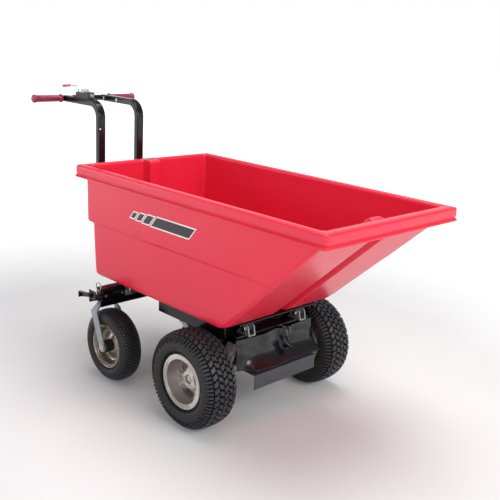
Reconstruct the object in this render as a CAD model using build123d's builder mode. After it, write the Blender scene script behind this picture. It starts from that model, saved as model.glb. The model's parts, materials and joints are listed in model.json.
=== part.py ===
"""Power wheelbarrow: tilting hopper on a driven front axle with two rear casters.

Millimetres, +X forward (the way the hopper tips), +Y left, +Z up, wheels on Z = 0.
"""
from build123d import *
import os
from math import atan, cos, radians, sin, sqrt

os.makedirs("parts", exist_ok=True)

# ---------------------------------------------------------------- driving dimensions
wall = 5.0                    # hopper wall
run_gap = 0.05                # radial clearance of a running fit
bolt_gap = 0.3                # radial clearance of a bolt hole
plate = 4.0                   # bracket plate

drive_tyre_r = 165.0
drive_tyre_half = 61.0
drive_track_half = 283.7
drive_bead_r = 80.0
drive_dish_r = 75.0           # inner edge of the rim's outer face
drive_rim_r = 92.0
drive_rim_half = 52.0
shaft_r = 12.5

caster_tyre_r = 134.5
caster_tyre_half = 44.5
caster_track_half = 285.0
caster_rim_r = 84.0
caster_barrel_r = 70.0
caster_axle_r = 6.0
caster_hub_r = 22.5
caster_trail = 51.0
kingpin_r = 8.0

front_reach = 540.0           # hopper lip ahead of the drive axle
back_reach = 1094.0           # control lever tip behind the drive axle
kingpin_back = 500.0          # caster kingpins behind the drive axle

hopper_half = 316.0           # half width over the rim
rim_depth = 42.0
rim_corner_r = 14.0           # rim corners, seen from above
tub_corner_r = 22.0           # upright corners of the tub
tub_height = 377.0            # floor underside to rim underside
tub_length = 715.0            # floor, front edge to back edge
nose_rise = 210.0 / 226.0     # climb of the nose for each millimetre forward

handle_half = 92.0
handle_y = 32.0               # handle tube, across
handle_t = 25.0               # handle tube, thickness in its bending plane
handle_rise = 659.0           # grip bar above the deck
bar_back = 1074.0             # grip bar behind the drive axle
upright_back = 823.0
bar_r = 11.0
grip_r = 16.5
grip_length = 130.0
grip_inner = 114.0

tilt_limit = 65.0

# ---------------------------------------------------------------- derived positions
axle_x = (back_reach - front_reach) / 2
axle_z = drive_tyre_r
deck = max(2 * drive_tyre_r - 24, 2 * caster_tyre_r + 37)   # underside of the chassis rails
rail_h = 25.0
rail_top = deck + rail_h
rail_in = handle_half + handle_y / 2
rail_out = rail_in + 32
tub_z = rail_top + 24         # hopper floor underside
rim_z = tub_z + tub_height
rim_top = rim_z + rim_depth
step_z = tub_z + 210.0        # ledge round the back of the hopper
tub_front = axle_x + 100
tub_back = tub_front - tub_length
rim_front = axle_x + front_reach
rim_back = tub_back - 34
pivot_x = axle_x + 80
pivot_z = deck + 22
pin_r = 6.0
beam_h = 23.0
beam_half_x = 38.0
kingpin_x = axle_x - kingpin_back
caster_x = kingpin_x + caster_trail
bar_x = axle_x - bar_back
bar_z = deck + handle_rise
upright_x = axle_x - upright_back


# ---------------------------------------------------------------- helpers
def block(x0, x1, y0, y1, z0, z1, mode=Mode.ADD):
    """A box between two corners."""
    with Locations(((x0 + x1) / 2, (y0 + y1) / 2, (z0 + z1) / 2)):
        Box(abs(x1 - x0), abs(y1 - y0), abs(z1 - z0), mode=mode)


def rod_x(x0, x1, y, z, r, mode=Mode.ADD):
    with Locations(Location(((x0 + x1) / 2, y, z), (0, 90, 0))):
        Cylinder(r, abs(x1 - x0), mode=mode)


def rod_y(x, y0, y1, z, r, mode=Mode.ADD):
    with Locations(Location((x, (y0 + y1) / 2, z), (90, 0, 0))):
        Cylinder(r, abs(y1 - y0), mode=mode)


def rod_z(x, y, z0, z1, r, mode=Mode.ADD):
    with Locations((x, y, (z0 + z1) / 2)):
        Cylinder(r, abs(z1 - z0), mode=mode)


def hex_y(x, y0, y1, z, across):
    """A hexagonal prism along Y, `across` its flats."""
    with BuildSketch(Plane.XZ.offset(-min(y0, y1))) as flats:
        with Locations((x, z)):
            RegularPolygon(across / sqrt(3), 6)
    extrude(flats.sketch, amount=-abs(y1 - y0))


def hex_z(x, y, z0, z1, across):
    with BuildSketch(Plane.XY.offset(min(z0, z1))) as flats:
        with Locations((x, y)):
            RegularPolygon(across / sqrt(3), 6)
    extrude(flats.sketch, amount=abs(z1 - z0))


def prism_y(points, y0, y1):
    """A side outline, given as (x, z) points, carried from y0 to y1."""
    with BuildSketch(Plane.XZ.offset(-min(y0, y1))) as side:
        Polygon(*points, align=None)
    extrude(side.sketch, amount=-abs(y1 - y0))


def spin_y(points, centre_x, centre_y, centre_z):
    """Revolve (width, radius) points about a wheel axis along Y."""
    with BuildSketch(Plane.YZ.offset(centre_x)) as half_section:
        Polygon(*[(centre_y + w, centre_z + r) for w, r in points], align=None)
    revolve(half_section.sketch, axis=Axis((centre_x, 0, centre_z), (0, 1, 0)))


def tyre(centre_x, centre_y, centre_z, r, half, bead_r, foot, rim_r):
    """A pneumatic tyre: a hollow carcass, open between its beads."""
    shoulder = r - 0.09 * r
    belly = (r + rim_r) / 2
    skin = 7.0
    with BuildSketch(Plane.YZ.offset(centre_x).shift_origin((centre_x, centre_y, centre_z))) as section:
        with BuildLine():
            Polyline((-foot + 8, bead_r), (-foot, bead_r), (-foot, rim_r + 1))
            ThreePointArc((-foot, rim_r + 1), (-half, belly), (-half + 7, shoulder))
            ThreePointArc((-half + 7, shoulder), (0, r), (half - 7, shoulder))
            ThreePointArc((half - 7, shoulder), (half, belly), (foot, rim_r + 1))
            Polyline((foot, rim_r + 1), (foot, bead_r), (foot - 8, bead_r), (foot - 8, rim_r))
            Polyline((foot - 8, rim_r), (half - skin, belly), (half - 7 - skin, shoulder - skin))
            ThreePointArc((half - 7 - skin, shoulder - skin), (0, r - 1.4 * skin),
                          (-half + 7 + skin, shoulder - skin))
            Polyline((-half + 7 + skin, shoulder - skin), (-half + skin, belly), (-foot + 8, rim_r))
            Line((-foot + 8, rim_r), (-foot + 8, bead_r))
        make_face()
    revolve(section.sketch, axis=Axis((centre_x, 0, centre_z), (0, 1, 0)))


def save(builder, label):
    builder.part.label = label
    export_step(builder.part, f"parts/{label}.step")


SIDES = (("right", -1), ("left", 1))

# ---------------------------------------------------------------- hopper
ridge_half = 30.0
ridge_deep = 30.0
rear_rib_half = 27.5
rear_rib_deep = 27.0
nose_angle = atan(nose_rise)


def nose_x(z):
    """Where the outside of the nose stands at a height."""
    return tub_front + (z - tub_z) / nose_rise


def outline(z, back, front, back_half, front_half, corner_r):
    """One horizontal outline of the tub, with rounded corners."""
    with BuildSketch(Plane.XY.offset(z)) as level:
        Polygon((back, -back_half), (front, -front_half), (front, front_half), (back, back_half),
                align=None)
        fillet(level.vertices(), corner_r)
    return level.sketch


def tub_lofts(inset, bottom, top):
    """The tub's two lofted bodies, below and above the ledge, moved in by `inset`."""
    nose_inset = inset / sin(nose_angle)
    corner_r = tub_corner_r - inset
    step = step_z + inset
    floor_half = hopper_half - 56
    base = outline(bottom, tub_back + inset, nose_x(bottom) - nose_inset, floor_half - inset,
                   floor_half - inset, corner_r)
    below = outline(step, tub_back + 4 + inset, nose_x(step) - nose_inset, floor_half + 13 - inset,
                    floor_half + 16 - inset, corner_r)
    loft([base, below])
    above = outline(step, tub_back - 12 + inset, nose_x(step) - nose_inset, floor_half + 27 - inset,
                    floor_half + 20 - inset, corner_r)
    mouth = outline(top, tub_back - 14 + inset, nose_x(top) - nose_inset, floor_half + 29 - inset,
                    floor_half + 29 - inset, corner_r)
    loft([above, mouth])


def ridge(depth, half, start_z, end_z, outside):
    """A block along the nose, `depth` deep behind its outside face."""
    in_x = -depth * sin(nose_angle)
    in_z = depth * cos(nose_angle)
    prism_y([(nose_x(start_z) + outside, start_z), (nose_x(end_z) + outside, end_z),
             (nose_x(end_z), end_z), (nose_x(end_z - 20) + in_x, end_z - 20 + in_z),
             (nose_x(start_z) + in_x, start_z + in_z), (nose_x(start_z) + in_x, start_z)], -half, half)


with BuildPart() as nose_groove:
    ridge(ridge_deep, ridge_half, tub_z - 20, rim_z - 4, 30)

with BuildPart() as nose_ridge:
    ridge(ridge_deep + wall, ridge_half + wall, tub_z - 20, rim_z, 30)

with BuildPart() as tub_cavity:
    tub_lofts(wall, tub_z + wall, rim_z)
    throat = outline(rim_z, tub_back - 14 + wall, nose_x(rim_z) - wall / sin(nose_angle),
                     hopper_half - 27 - wall, hopper_half - 27 - wall, tub_corner_r - wall)
    extrude(throat, amount=rim_depth + 10)
    add(nose_ridge.part, mode=Mode.SUBTRACT)
    block(tub_back - 40, tub_back + rear_rib_deep + wall, -rear_rib_half - wall, rear_rib_half + wall,
          tub_z - 20, rim_top - wall, mode=Mode.SUBTRACT)

tilt_rail_out = 208.0
tilt_bolt_y = tilt_rail_out - 15
tilt_rail_back = axle_x - 285
tilt_rail_front = axle_x + 60
tilt_bolt_x = [tilt_rail_back + 25 + k * (tilt_rail_front - tilt_rail_back - 50) / 3 for k in range(4)]
carriage_r = 4.0

with BuildPart() as hopper_tub:
    tub_lofts(0, tub_z, rim_z)
    fillet(hopper_tub.faces().sort_by(Axis.Z)[0].edges(), 16)
    extrude(outline(rim_z, rim_back, rim_front, hopper_half, hopper_half, rim_corner_r), amount=rim_depth)
    fillet(hopper_tub.faces().sort_by(Axis.Z)[-1].edges(), 6)
    with BuildSketch(Plane.XY.offset(rim_z)) as under_rim:
        Polygon((rim_back + wall, -hopper_half + wall), (rim_front - wall, -hopper_half + wall),
                (rim_front - wall, hopper_half - wall), (rim_back + wall, hopper_half - wall), align=None)
        fillet(under_rim.vertices(), rim_corner_r - wall)
        with BuildSketch(Plane.XY.offset(rim_z), mode=Mode.SUBTRACT) as tub_top:
            Polygon((tub_back - 14, -hopper_half + 27), (nose_x(rim_z), -hopper_half + 27),
                    (nose_x(rim_z), hopper_half - 27), (tub_back - 14, hopper_half - 27), align=None)
            fillet(tub_top.vertices(), tub_corner_r)
    extrude(amount=rim_depth - wall - 4, mode=Mode.SUBTRACT)
    add(nose_groove.part, mode=Mode.SUBTRACT)
    block(rim_back + wall, tub_back + rear_rib_deep, -rear_rib_half, rear_rib_half,
          tub_z - 20, rim_top - 2 * wall, mode=Mode.SUBTRACT)
    add(tub_cavity.part, mode=Mode.SUBTRACT)
    for side, s in SIDES:
        for x in tilt_bolt_x:
            rod_z(x, s * tilt_bolt_y, tub_z - 5, tub_z + wall + 5, carriage_r + bolt_gap, Mode.SUBTRACT)
save(hopper_tub, "hopper_tub")

for side, s in SIDES:
    with BuildPart() as tilt_rail:
        block(tilt_rail_back, tilt_rail_front, s * (tilt_rail_out - plate), s * tilt_rail_out,
              tub_z - 58, tub_z - plate)
        block(tilt_rail_back, tilt_rail_front, s * (tilt_rail_out - 30), s * tilt_rail_out,
              tub_z - plate, tub_z)
        for x in tilt_bolt_x:
            rod_z(x, s * tilt_bolt_y, tub_z - 10, tub_z + 1, carriage_r + bolt_gap, Mode.SUBTRACT)
    save(tilt_rail, f"{side}_tilt_rail")

with BuildPart() as hopper_bolts:
    for side, s in SIDES:
        for x in tilt_bolt_x:
            rod_z(x, s * tilt_bolt_y, tub_z - 14, tub_z + wall, carriage_r)
            rod_z(x, s * tilt_bolt_y, tub_z + wall, tub_z + wall + 3, 9)
            hex_z(x, s * tilt_bolt_y, tub_z - plate - 7, tub_z - plate, 13)
save(hopper_bolts, "hopper_bolts")

lug_y = (rail_in + rail_out) / 2
lug_half = 10.0
bracket_gap = 1.0
with BuildPart() as tilt_plate:
    block(pivot_x - 40, pivot_x + 20, -(tilt_rail_out - 30.5), tilt_rail_out - 30.5, tub_z - 4.5, tub_z)
    for side, s in SIDES:
        block(pivot_x - 14, pivot_x + 14, s * lug_y - lug_half, s * lug_y + lug_half, pivot_z, tub_z - 4.5)
        rod_y(pivot_x, s * lug_y - lug_half, s * lug_y + lug_half, pivot_z, 14)
    for side, s in SIDES:
        rod_y(pivot_x, s * lug_y - 15, s * lug_y + 15, pivot_z, pin_r + run_gap, Mode.SUBTRACT)
save(tilt_plate, "tilt_plate")

# ---------------------------------------------------------------- chassis
cross_x = axle_x + 59         # front crossmember, middle of its 50 mm width
mid_cross_x = axle_x - 170
cross_end = 190.0             # rear crossmember, half length
rail_front = pivot_x - 35
rail_back = kingpin_x - 75
for side, s in SIDES:
    with BuildPart() as chassis_rail:
        block(rail_back, rail_front, s * rail_in, s * rail_out, deck, rail_top)
        block(rail_back - 1, rail_front + 1, s * (rail_in + 2.5), s * (rail_out - 2.5), deck + 2.5,
              rail_top - 2.5, mode=Mode.SUBTRACT)
        for x in (rail_back + 30, rail_back + 90):
            rod_y(x, s * (rail_in - 1), s * (rail_out + 1), deck + rail_h / 2, 4 + bolt_gap, Mode.SUBTRACT)
    save(chassis_rail, f"{side}_chassis_rail")

cross_h = 25.0
with BuildPart() as chassis_crossmembers:
    for x, half_x, half_y in ((cross_x, 25, 175), (mid_cross_x, 20, cross_end)):
        block(x - half_x, x + half_x, -half_y, half_y, deck - cross_h, deck)
        block(x - half_x + 2.5, x + half_x - 2.5, -half_y - 1, half_y + 1, deck - cross_h + 2.5,
              deck - 2.5, mode=Mode.SUBTRACT)
save(chassis_crossmembers, "chassis_crossmembers")

beam_end = caster_track_half + 47
with BuildPart() as rear_crossbeam:
    block(kingpin_x - beam_half_x, kingpin_x + beam_half_x, -beam_end, beam_end, deck - beam_h, deck)
    block(kingpin_x - beam_half_x + 3, kingpin_x + beam_half_x - 3, -beam_end - 1, beam_end + 1,
          deck - beam_h - 1, deck - 5, mode=Mode.SUBTRACT)
    for side, s in SIDES:
        rod_z(kingpin_x, s * caster_track_half, deck - 10, deck + 1, kingpin_r + bolt_gap, Mode.SUBTRACT)
save(rear_crossbeam, "rear_crossbeam")

foot_x = rail_back + 120      # front end of the handle tubes' lower legs
for side, s in SIDES:
    with BuildPart() as handle_tube:
        with BuildLine(Plane.XZ.offset(-s * handle_half)) as route:
            FilletPolyline((foot_x, deck + rail_h / 2), (upright_x, deck + rail_h / 2),
                           (upright_x, bar_z), (bar_x, bar_z), radius=55)
        with BuildSketch(Plane(origin=route.line @ 0, z_dir=route.line % 0, x_dir=(0, 1, 0))):
            RectangleRounded(handle_y, handle_t, 5)
            RectangleRounded(handle_y - 4, handle_t - 4, 3, mode=Mode.SUBTRACT)
        sweep()
        rod_y(bar_x, s * handle_half - 30, s * handle_half + 30, bar_z, bar_r, Mode.SUBTRACT)
        block(bar_x - 30, bar_x, s * handle_half - 30, s * handle_half + 30, bar_z - 20, bar_z + 20,
              mode=Mode.SUBTRACT)
        for x in (rail_back + 30, rail_back + 90):
            rod_y(x, s * (rail_in - 40), s * (rail_in + 1), deck + rail_h / 2, 4 + bolt_gap, Mode.SUBTRACT)
    save(handle_tube, f"{side}_handle_tube")

bar_end = grip_inner + grip_length
with BuildPart() as handlebar:
    rod_y(bar_x, -bar_end + 5, bar_end - 5, bar_z, bar_r)
    rod_y(bar_x, -bar_end + 4, bar_end - 4, bar_z, bar_r - 2.5, Mode.SUBTRACT)
save(handlebar, "handlebar")

for side, s in SIDES:
    with BuildPart() as grip:
        rod_y(bar_x, s * grip_inner, s * bar_end, bar_z, grip_r - 1.5)
        rod_y(bar_x, s * grip_inner, s * (grip_inner + 6), bar_z, grip_r)
        rod_y(bar_x, s * (bar_end - 8), s * bar_end, bar_z, grip_r)
        rod_y(bar_x, s * (grip_inner - 1), s * (bar_end - 5), bar_z, bar_r, Mode.SUBTRACT)
    save(grip, f"{side}_grip")

with BuildPart() as handle_bolts:
    for side, s in SIDES:
        for x in (rail_back + 30, rail_back + 90):
            z = deck + rail_h / 2
            inner = handle_half - handle_y / 2
            rod_y(x, s * (inner - 8), s * rail_out, z, 4)
            hex_y(x, s * rail_out, s * (rail_out + 5.5), z, 13)
            hex_y(x, s * (inner - 6.5), s * inner, z, 13)
save(handle_bolts, "handle_bolts")

web = 4.0
with BuildPart() as hinge_brackets:
    for side, s in SIDES:
        mid = s * lug_y
        half = lug_half + bracket_gap + plate
        block(pivot_x - 34, pivot_x + 24, mid - half, mid + half, deck, deck + web)
        for lo in (mid - half, mid + half - plate):
            prism_y([(pivot_x - 34, deck + web), (pivot_x + 24, deck + web), (pivot_x + 19.5, pivot_z),
                     (pivot_x - 19.5, pivot_z)], lo, lo + plate)
            rod_y(pivot_x, lo, lo + plate, pivot_z, 19.5)
    for side, s in SIDES:
        rod_y(pivot_x, s * lug_y - 20, s * lug_y + 20, pivot_z, pin_r + run_gap, Mode.SUBTRACT)
save(hinge_brackets, "hinge_brackets")

with BuildPart() as hinge_pins:
    for side, s in SIDES:
        inner = lug_y - lug_half - bracket_gap - plate
        outer = lug_y + lug_half + bracket_gap + plate
        rod_y(pivot_x, s * (inner - 9), s * outer, pivot_z, pin_r)
        hex_y(pivot_x, s * outer, s * (outer + 7), pivot_z, 18)
        hex_y(pivot_x, s * (inner - 8), s * inner, pivot_z, 18)
save(hinge_pins, "hinge_pins")

with BuildPart() as rest_bumpers:
    for side, s in SIDES:
        rod_z(rail_back + 60, s * (rail_in + 16), rail_top, tub_z - 0.4, 14)
save(rest_bumpers, "rest_bumpers")

# ---------------------------------------------------------------- drive line
tube_end = 214.0
tube_r = 28.0
case_r = 44.0
lug_out = 162.0
with BuildPart() as transaxle_housing:
    rod_y(axle_x, -tube_end, tube_end, axle_z, tube_r)
    rod_y(axle_x, -50, 50, axle_z, case_r)
    block(axle_x - 30, axle_x + 24, -50, -30, axle_z, axle_z + 116)
    for side, s in SIDES:
        prism_y([(axle_x - 27, axle_z), (axle_x + 27, axle_z), (cross_x + 24, deck - cross_h),
                 (cross_x - 24, deck - cross_h)], s * (lug_out - 12), s * lug_out)
    rod_y(axle_x, -tube_end - 1, tube_end + 1, axle_z, shaft_r + run_gap, Mode.SUBTRACT)
    rod_y(axle_x, -46, 46, axle_z, 20, Mode.SUBTRACT)
save(transaxle_housing, "transaxle_housing")

motor_r = 35.0
motor_x = axle_x - 6
motor_z = axle_z + case_r + motor_r + 1
with BuildPart() as drive_motor:
    rod_y(motor_x, -30, 90, motor_z, motor_r)
    rod_y(motor_x, 90, 110, motor_z, motor_r - 5)
save(drive_motor, "drive_motor")

battery_top = deck - cross_h - 10
battery_h = 154.0
battery_l = 185.0
battery_w = 130.0
battery_front = axle_x - case_r - 4
battery_gap = 3.0
with BuildPart() as batteries:
    for side, s in SIDES:
        y0 = s * battery_gap
        y1 = s * (battery_gap + battery_l)
        block(battery_front - battery_w, battery_front, y0, y1, battery_top - battery_h, battery_top - 6)
        block(battery_front - battery_w + 4, battery_front - 4, y0 + s * 4, y1 - s * 4,
              battery_top - 6, battery_top)
        for y in (y0 + s * 22, y1 - s * 22):
            block(battery_front - 30, battery_front - 14, y - 8, y + 8, battery_top, battery_top + 7)
save(batteries, "batteries")

tray_z = battery_top - battery_h
tray_half = battery_gap + battery_l + 1
tray_front = battery_front + 3
tray_back = battery_front - battery_w - 3
with BuildPart() as battery_tray:
    block(tray_back, tray_front, -tray_half, tray_half, tray_z - 3, tray_z)
    for x0, x1, hung_from in ((tray_back, tray_back + 3, deck - cross_h), (tray_front - 3, tray_front, deck)):
        block(x0, x1, -tray_half, tray_half, tray_z, tray_z + 30)
        for side, s in SIDES:
            block(x0, x1, s * (rail_in + 2), s * (rail_out - 2), tray_z + 30, hung_from)
    rod_y(axle_x, -tray_half - 1, tray_half + 1, axle_z, case_r + 0.5, Mode.SUBTRACT)
    rod_y(motor_x, -tray_half - 1, tray_half + 1, motor_z, motor_r + 0.5, Mode.SUBTRACT)
save(battery_tray, "battery_tray")

controller_x = axle_x + 62
with BuildPart() as motor_controller:
    block(controller_x - 4, controller_x, -85, 85, axle_z + 28, deck - cross_h - 4)
    block(controller_x - 20, controller_x - 4, -78, 78, axle_z + 33, deck - cross_h - 9)
save(motor_controller, "motor_controller")

brace_out = cross_end + 10
with BuildPart() as axle_braces:
    for side, s in SIDES:
        prism_y([(mid_cross_x - 20, deck), (mid_cross_x + 12, deck), (axle_x - 12, axle_z + 22),
                 (axle_x - 12, axle_z), (axle_x - 36, axle_z)], s * cross_end, s * brace_out)
        rod_y(axle_x, s * cross_end, s * brace_out, axle_z, tube_r + 8)
    rod_y(axle_x, -brace_out - 1, brace_out + 1, axle_z, tube_r, Mode.SUBTRACT)
save(axle_braces, "axle_braces")

skid_front = axle_x + 151
skid_top = deck - 118
with BuildPart() as skid_plate:
    block(skid_front - 3, skid_front, -148, 148, skid_top - 51, skid_top)
    block(axle_x + 66, skid_front - 3, -148, 148, skid_top - 3, skid_top)
    block(axle_x + 63, axle_x + 66, -120, 120, skid_top - 3, deck - cross_h)
save(skid_plate, "skid_plate")

with BuildPart() as motor_cover:
    prism_y([(axle_x + 84.5, deck - 4), (axle_x + 90, deck - 14), (axle_x + 103, skid_top + 6),
             (axle_x + 100, skid_top + 6), (axle_x + 87, deck - 14), (axle_x + 84.5, deck - 9)], -185, 185)
save(motor_cover, "motor_cover")

# ---------------------------------------------------------------- drive wheels
rim_bolt_pcr = 49.0
first_bolt = 77.5             # degrees up from +X
window_pcr = 48.0
hub_recess_r = 16.5
disc_face = 12.0              # outer disc face from the wheel's middle plane


def rim_holes(wy):
    """Three bolt holes and, between them, three oval windows through the wheel disc."""
    for k in range(3):
        bolt_a = 120 * k + first_bolt
        rod_y(axle_x + rim_bolt_pcr * cos(radians(bolt_a)), wy - 20, wy + 20,
              axle_z + rim_bolt_pcr * sin(radians(bolt_a)), 4 + bolt_gap, Mode.SUBTRACT)
        window_a = bolt_a + 60
        centre = (axle_x + window_pcr * cos(radians(window_a)), axle_z + window_pcr * sin(radians(window_a)))
        with BuildSketch(Plane.XZ.offset(-wy + 20)) as window:
            with Locations(Location(centre, window_a + 90)):
                SlotOverall(58, 36)
        extrude(window.sketch, amount=-40, mode=Mode.SUBTRACT)


for side, s in SIDES:
    wy = s * drive_track_half
    with BuildPart() as drive_tyre:
        tyre(axle_x, wy, axle_z, drive_tyre_r, drive_tyre_half, drive_bead_r, drive_rim_half - 6, drive_rim_r)
    save(drive_tyre, f"{side}_drive_tyre")

    rim_out = s * drive_rim_half
    with BuildPart() as rim_outer:
        spin_y([(rim_out, drive_rim_r), (rim_out, drive_dish_r), (s * 24, drive_dish_r - 3),
                (s * disc_face, drive_dish_r - 9), (s * disc_face, 30), (s * 19, 27), (s * 19, hub_recess_r),
                (s * 9, hub_recess_r), (s * 9, shaft_r), (0, shaft_r), (0, drive_bead_r),
                (rim_out - s * 6, drive_bead_r), (rim_out - s * 6, drive_rim_r)], axle_x, wy, axle_z)
        rim_holes(wy)
    save(rim_outer, f"{side}_drive_rim_outer")

    rim_in = -s * drive_rim_half
    with BuildPart() as rim_inner:
        spin_y([(0, drive_bead_r), (0, 24.2), (-s * 8, 24.2), (-s * 8, 58), (rim_in, drive_rim_r - 26),
                (rim_in, drive_rim_r), (rim_in + s * 6, drive_rim_r), (rim_in + s * 6, drive_bead_r)],
               axle_x, wy, axle_z)
        rim_holes(wy)
    save(rim_inner, f"{side}_drive_rim_inner")

    with BuildPart() as rim_bolts:
        for k in range(3):
            a = radians(120 * k + first_bolt)
            bx = axle_x + rim_bolt_pcr * cos(a)
            bz = axle_z + rim_bolt_pcr * sin(a)
            rod_y(bx, wy - s * 16, wy + s * disc_face, bz, 4)
            hex_y(bx, wy + s * disc_face, wy + s * (disc_face + 5.5), bz, 13)
            hex_y(bx, wy - s * 14.5, wy - s * 8, bz, 13)
    save(rim_bolts, f"{side}_rim_bolts")

    with BuildPart() as axle_shaft:
        rod_y(axle_x, s * 52, wy + s * 16, axle_z, shaft_r)
        rod_y(axle_x, wy + s * 9, wy + s * 11, axle_z, hub_recess_r - 1)
        hex_y(axle_x, wy + s * 16, wy + s * 20, axle_z, 13)
        rod_y(axle_x, s * (tube_end + 1), wy - s * 0.2, axle_z, shaft_r + 4)
    save(axle_shaft, f"{side}_axle_shaft")

# ---------------------------------------------------------------- casters
fork_t = 5.0
fork_half = caster_tyre_half + 5.5       # middle of a fork leg from the wheel's middle
crown_z = deck - 8                       # middle of the crown plate
bend_z = crown_z - 40
leg_half = 18.5                          # half width of a fork leg
for side, s in SIDES:
    cy = s * caster_track_half
    cz = caster_tyre_r
    with BuildPart() as kingpin:
        rod_z(kingpin_x, cy, crown_z - fork_t / 2 - 1, deck + 12, kingpin_r)
        rod_z(kingpin_x, cy, crown_z - fork_t / 2 - 4, crown_z - fork_t / 2 - 0.3, 13)
        hex_z(kingpin_x, cy, deck, deck + 10, 24)
    save(kingpin, f"{side}_caster_kingpin")

    with BuildPart() as fork:
        with BuildSketch(Plane.YZ.offset(kingpin_x - 40)):
            with BuildLine() as strap:
                Polyline((cy - fork_half, cz - 20), (cy - fork_half, bend_z), (cy - 16, crown_z),
                         (cy + 16, crown_z), (cy + fork_half, bend_z), (cy + fork_half, cz - 20))
                offset(amount=fork_t / 2, kind=Kind.INTERSECTION, side=Side.BOTH)
            make_face()
        extrude(amount=160)
        with BuildSketch(Plane.XZ.offset(-cy + 80)):
            with BuildLine():
                Polyline((caster_x - leg_half, cz), (kingpin_x - leg_half, bend_z), (kingpin_x - 10, bend_z + 26),
                         (kingpin_x - 10, crown_z + 6), (kingpin_x + 10, crown_z + 6),
                         (kingpin_x + 10, bend_z + 26), (kingpin_x + leg_half, bend_z),
                         (caster_x + leg_half, cz))
                ThreePointArc((caster_x + leg_half, cz), (caster_x, cz - leg_half), (caster_x - leg_half, cz))
            make_face()
        extrude(amount=-160, mode=Mode.INTERSECT)
        rod_z(kingpin_x, cy, crown_z - fork_t / 2, crown_z + fork_t / 2, 22)
        rod_z(kingpin_x, cy, crown_z - 10, crown_z + 10, kingpin_r + run_gap, Mode.SUBTRACT)
        rod_y(caster_x, cy - 80, cy + 80, cz, caster_axle_r + run_gap, Mode.SUBTRACT)
    save(fork, f"{side}_caster_fork")

    with BuildPart() as caster_axle:
        leg_out = fork_half + fork_t / 2
        rod_y(caster_x, cy - s * (leg_out + 9), cy + s * leg_out, cz, caster_axle_r)
        rod_y(caster_x, cy + s * leg_out, cy + s * (leg_out + 3), cz, 12)
        hex_y(caster_x, cy - s * leg_out, cy - s * (leg_out + 8), cz, 19)
    save(caster_axle, f"{side}_caster_axle")

    with BuildPart() as caster_hub:
        hub_half = fork_half - fork_t / 2 - 0.5
        rod_y(caster_x, cy - hub_half, cy + hub_half, cz, caster_hub_r)
        rod_y(caster_x, cy - hub_half - 1, cy + hub_half + 1, cz, caster_axle_r + run_gap, Mode.SUBTRACT)
    save(caster_hub, f"{side}_caster_hub")

    with BuildPart() as caster_rim:
        spin_y([(s * 36, caster_rim_r), (s * 36, caster_rim_r - 6), (s * 29, caster_barrel_r - 4),
                (s * 8, caster_barrel_r - 5), (s * 3, 50), (s * 12, 31), (s * 12, caster_hub_r),
                (s * 7, caster_hub_r), (s * 7, 30), (-s * 2, 50), (0, caster_barrel_r - 5),
                (-s * 29, caster_barrel_r - 4), (-s * 36, caster_rim_r - 6), (-s * 36, caster_rim_r),
                (-s * 32, caster_rim_r), (-s * 32, caster_barrel_r), (s * 32, caster_barrel_r),
                (s * 32, caster_rim_r)], caster_x, cy, cz)
    save(caster_rim, f"{side}_caster_rim")

    with BuildPart() as caster_tyre:
        tyre(caster_x, cy, cz, caster_tyre_r, caster_tyre_half, caster_barrel_r, 32, caster_rim_r)
    save(caster_tyre, f"{side}_caster_tyre")

# ---------------------------------------------------------------- latch and dump pedal
latch_pin_x = kingpin_x + 8
latch_pin_z = deck + 24
latch_pin_r = 5.0
latch_in = 216.0
latch_out = 312.0
plate_in = 338.0
end_plate_z = deck + 31
with BuildPart() as latch_housing:
    block(kingpin_x - 20, kingpin_x + 24, -latch_out, -latch_in, deck, deck + 38)
    fillet(latch_housing.edges().filter_by(Axis.Y).group_by(Axis.Z)[-1], 7)
    rod_y(latch_pin_x, -latch_out - 1, -latch_in + 1, latch_pin_z, latch_pin_r + run_gap, Mode.SUBTRACT)
    rod_z(kingpin_x, -caster_track_half, deck - 1, deck + 15, 16, Mode.SUBTRACT)
    for y in (latch_out - 12, latch_in + 12):
        rod_x(kingpin_x + 12, kingpin_x + 25, -y, deck + 10, 3 + bolt_gap, Mode.SUBTRACT)
save(latch_housing, "latch_housing")

with BuildPart() as latch_bolts:
    for y in (latch_out - 12, latch_in + 12):
        rod_x(kingpin_x + 14, kingpin_x + 24, -y, deck + 10, 3)
        rod_x(kingpin_x + 24, kingpin_x + 28, -y, deck + 10, 5.5)
save(latch_bolts, "latch_bolts")

ring_y = latch_out + 10.5
ring_r = 15.0
with BuildPart() as latch_pin:
    rod_y(latch_pin_x, -ring_y - 3, -latch_in + 6, latch_pin_z, latch_pin_r)
save(latch_pin, "latch_pin")

with BuildPart() as pull_ring:
    with Locations(Location((latch_pin_x, -ring_y, latch_pin_z + latch_pin_r + 2.2 + ring_r), (90, 0, 0))):
        Torus(ring_r, 2)
    rod_y(latch_pin_x, -ring_y - 3, -ring_y + 3, latch_pin_z, latch_pin_r + 2.5)
    rod_y(latch_pin_x, -ring_y - 4, -ring_y + 4, latch_pin_z, latch_pin_r, Mode.SUBTRACT)
save(pull_ring, "pull_ring")

pedal_pin_x = kingpin_x - 10
pedal_pin_z = deck + 12
pedal_y0 = plate_in + plate + 0.5
pedal_y1 = plate_in + 16.0
with BuildPart() as pedal_bracket:
    block(kingpin_x - 24, kingpin_x + 18, -plate_in - plate, -plate_in, deck - 3, end_plate_z)
    block(kingpin_x - 24, kingpin_x + 18, -plate_in, -beam_end + 20, deck, deck + 3)
    rod_z(kingpin_x, -caster_track_half, deck - 1, deck + 5, 29, Mode.SUBTRACT)
    rod_y(pedal_pin_x, -plate_in, -pedal_y1 - 0.5, pedal_pin_z, 4)
save(pedal_bracket, "pedal_bracket")

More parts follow.
